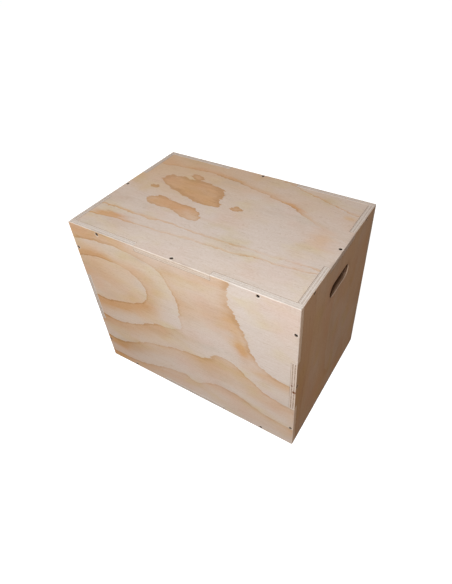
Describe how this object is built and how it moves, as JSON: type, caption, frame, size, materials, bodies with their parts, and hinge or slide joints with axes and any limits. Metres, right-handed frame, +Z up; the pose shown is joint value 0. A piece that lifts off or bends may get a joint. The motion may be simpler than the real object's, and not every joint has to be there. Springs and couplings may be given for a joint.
{
  "type": "plywood jump box",
  "caption": "Finger-jointed plywood box that stands at any of three heights, with a hand slot in each end, for standing on, stepping on or jumping on to.",
  "frame": {"origin": "centre of the footprint, on the surface that the box stands on", "axes": "+X along the length towards the right-hand end panel, +Y from the front panel to the back panel, +Z up"},
  "size_m": [0.762, 0.508, 0.61],
  "materials": {
    "pine_plywood": "bare sanded softwood plywood with open figure, ply lines on the edges",
    "black_screw": "dull black phosphated steel"
  },
  "bodies": {
    "root": {"front_panel": "pine_plywood", "back_panel": "pine_plywood", "left_panel": "pine_plywood", "right_panel": "pine_plywood", "bottom_panel": "pine_plywood", "top_panel": "pine_plywood", "screws_front_left": "black_screw", "screws_front_bottom": "black_screw", "screws_front_right": "black_screw", "screws_front_top": "black_screw", "screws_back_left": "black_screw", "screws_back_bottom": "black_screw", "screws_back_right": "black_screw", "screws_back_top": "black_screw", "screw_left_front": "black_screw", "screws_left_bottom": "black_screw", "screw_left_back": "black_screw", "screws_left_top": "black_screw", "screw_right_front": "black_screw", "screws_right_bottom": "black_screw", "screw_right_back": "black_screw", "screws_right_top": "black_screw", "screw_bottom_left": "black_screw", "screw_bottom_front": "black_screw", "screw_bottom_right": "black_screw", "screw_bottom_back": "black_screw", "screw_top_left": "black_screw", "screw_top_front": "black_screw", "screw_top_right": "black_screw", "screw_top_back": "black_screw"}
  },
  "joints": []
}
